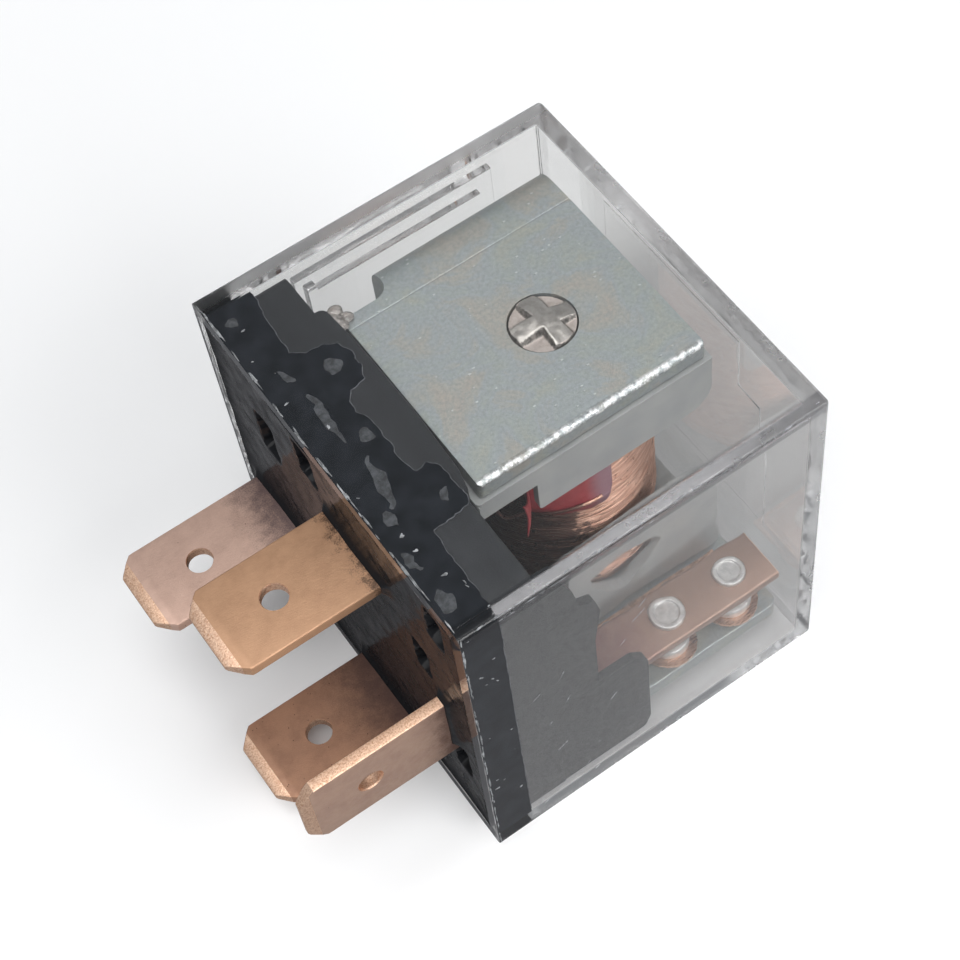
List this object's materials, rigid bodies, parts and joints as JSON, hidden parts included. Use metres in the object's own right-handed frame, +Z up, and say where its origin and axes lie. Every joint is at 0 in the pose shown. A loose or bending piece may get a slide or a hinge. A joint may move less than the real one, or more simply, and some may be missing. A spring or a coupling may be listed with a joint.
{
  "type": "plug-in relay",
  "caption": "Clear-cased plug-in automotive relay: flat blades leave a potted base, and a coil inside pulls a hinged armature that closes a contact bridge.",
  "frame": {"origin": "centre of the potted seating face, which rests on the socket", "axes": "+X from the seating face to the cover's closed end, so the blades point along -X; +Z up, towards the flat plate of the yoke; -Y towards the contacts"},
  "size_m": [0.0359, 0.028, 0.028],
  "materials": {
    "clear_polycarbonate": "clear, glossy moulded polycarbonate",
    "black_moulding": "satin glass-filled moulding",
    "black_epoxy": "poured epoxy, glossy and slightly uneven",
    "terminal_copper": "tarnished bare copper alloy",
    "contact_silver": "silver alloy, satin",
    "zinc_plate": "passivated zinc plate",
    "soft_iron": "plated soft iron, staked",
    "white_nylon": "natural milky nylon",
    "enamelled_wire": "enamelled copper wire",
    "red_tape": "thin polyester tape",
    "spring_bronze": "rolled spring bronze"
  },
  "bodies": {
    "case": {"cover": "clear_polycarbonate", "base": "black_moulding", "potting_seal": "black_epoxy", "terminal_30": "terminal_copper", "terminal_87": "terminal_copper", "terminal_86": "terminal_copper", "terminal_85": "terminal_copper", "fixed_contact_1": "contact_silver", "fixed_contact_2": "contact_silver", "yoke": "zinc_plate", "core": "soft_iron", "bobbin": "white_nylon", "winding": "enamelled_wire", "insulating_tape": "red_tape", "coil_lead_start": "enamelled_wire", "coil_lead_end": "enamelled_wire", "terminal_rivet_1": "soft_iron", "terminal_rivet_2": "soft_iron", "leaf_rivet_1": "soft_iron", "leaf_rivet_2": "soft_iron", "return_spring": "spring_bronze"},
    "armature": {"armature": "zinc_plate", "contact_spring": "spring_bronze", "moving_contact_1": "contact_silver", "moving_contact_2": "contact_silver", "spring_rivet_1": "soft_iron", "spring_rivet_2": "soft_iron", "heel_rivet_1": "soft_iron", "heel_rivet_2": "soft_iron"}
  },
  "joints": [
    {"name": "armature_hinge", "type": "hinge", "parent": "case", "child": "armature", "pos_m": [0.016, 0.0109, -0.0095], "axis": [-1, 0, 0], "range_deg": [0, 2.2], "stiffness_Nm_per_rad": 0.05, "springref_deg": -0.57}
  ]
}
